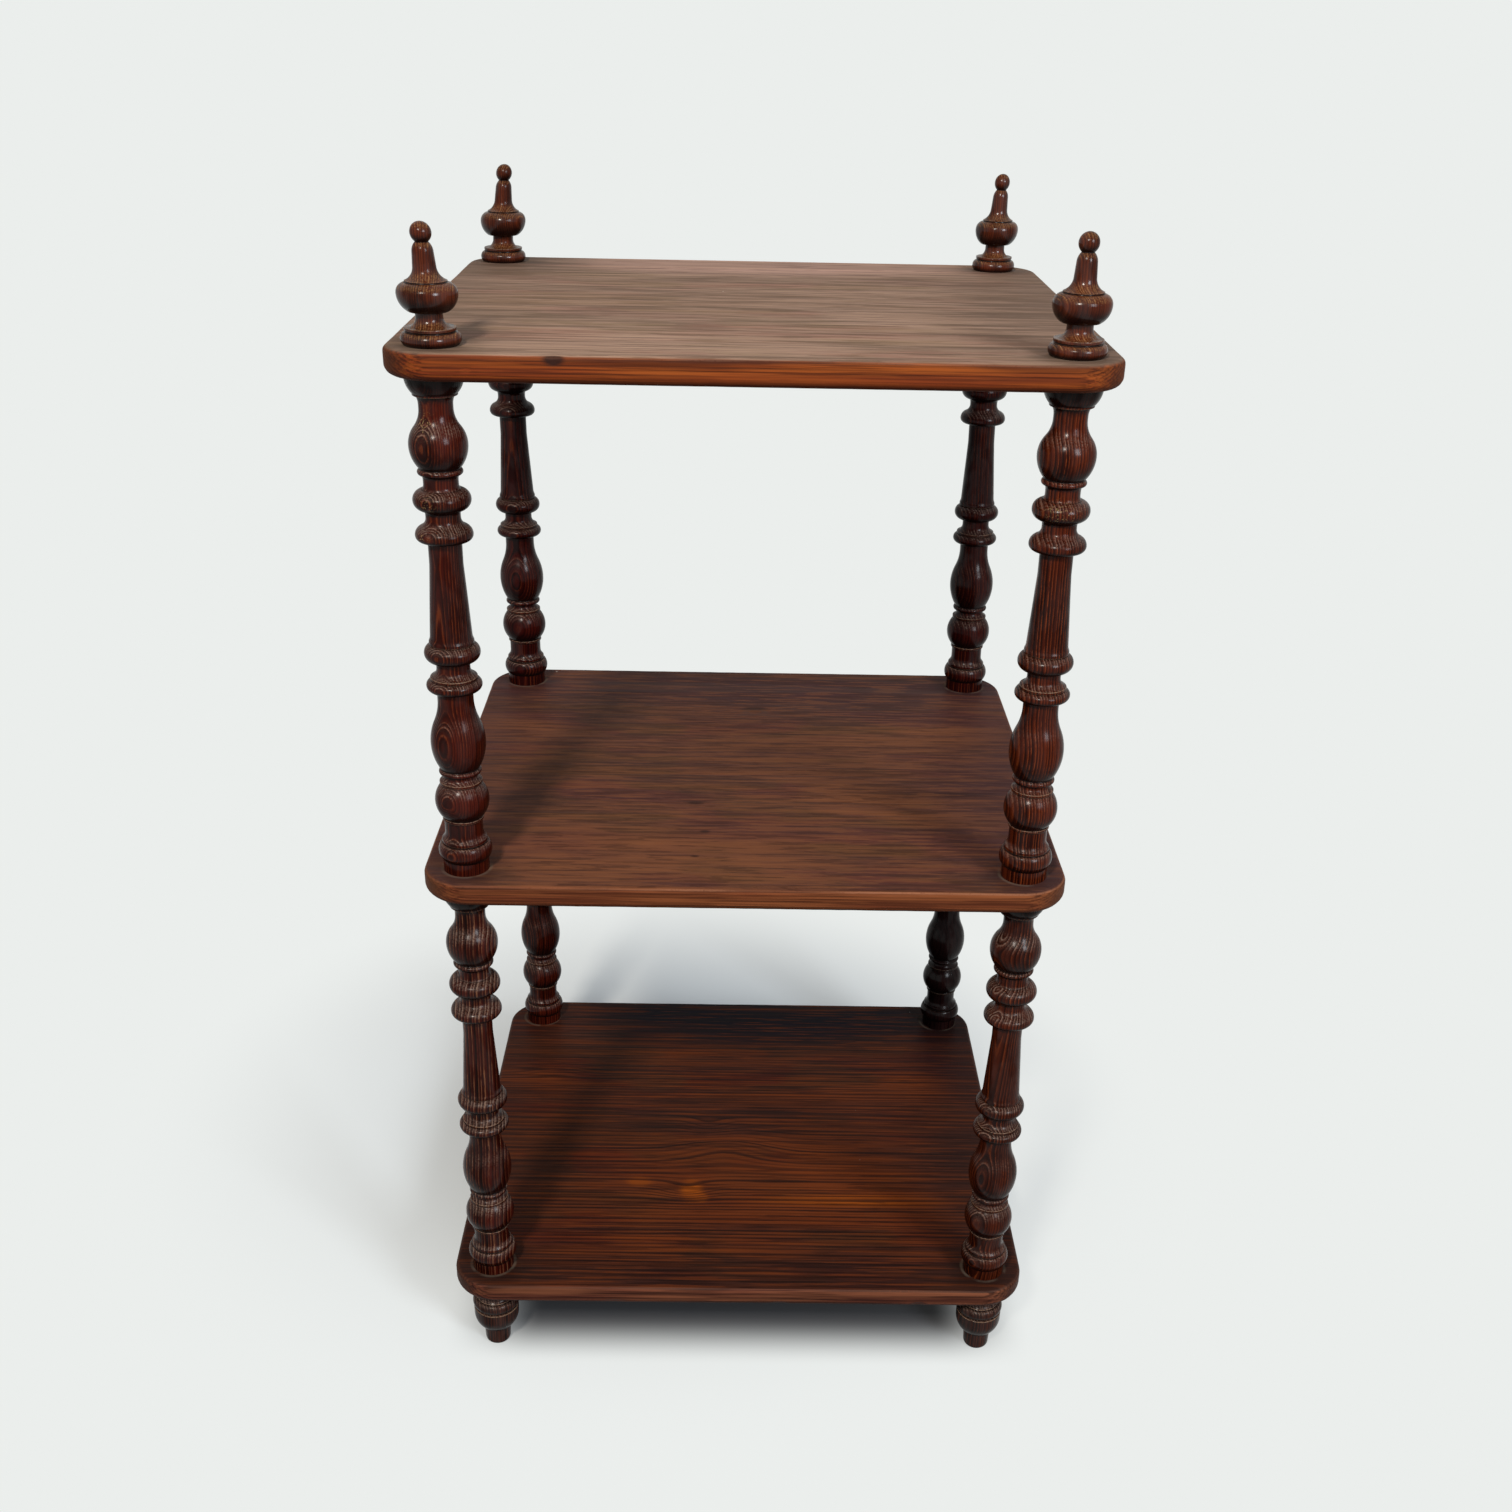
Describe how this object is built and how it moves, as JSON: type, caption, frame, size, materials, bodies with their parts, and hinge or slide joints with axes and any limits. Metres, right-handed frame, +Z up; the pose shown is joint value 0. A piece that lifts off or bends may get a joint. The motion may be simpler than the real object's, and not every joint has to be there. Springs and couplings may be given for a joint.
{
  "type": "three-tier etagere",
  "caption": "Free-standing open shelf stand: shelves of edge-glued pine boards held between turned posts, with finials above and turned feet below.",
  "frame": {"origin": "on the floor, at the middle of the plan", "axes": "+Z up, the front faces -Y, +X to the right of someone facing the front"},
  "size_m": [0.557, 0.52, 1.0603],
  "materials": {
    "top_shelf_pine": "worn, faded brown stain",
    "middle_shelf_pine": "satin reddish-brown stain",
    "bottom_shelf_pine": "satin dark red-brown stain",
    "turned_pine": "polished dark red-brown stain"
  },
  "bodies": {
    "root": {"bottom_shelf_front_board": "bottom_shelf_pine", "bottom_shelf_back_board": "bottom_shelf_pine", "middle_shelf_front_board": "middle_shelf_pine", "middle_shelf_back_board": "middle_shelf_pine", "top_shelf_front_board": "top_shelf_pine", "top_shelf_back_board": "top_shelf_pine", "foot_front_left": "turned_pine", "foot_front_right": "turned_pine", "foot_back_left": "turned_pine", "foot_back_right": "turned_pine", "lower_post_front_left": "turned_pine", "lower_post_front_right": "turned_pine", "lower_post_back_left": "turned_pine", "lower_post_back_right": "turned_pine", "upper_post_front_left": "turned_pine", "upper_post_front_right": "turned_pine", "upper_post_back_left": "turned_pine", "upper_post_back_right": "turned_pine", "finial_front_left": "turned_pine", "finial_front_right": "turned_pine", "finial_back_left": "turned_pine", "finial_back_right": "turned_pine"}
  },
  "joints": []
}
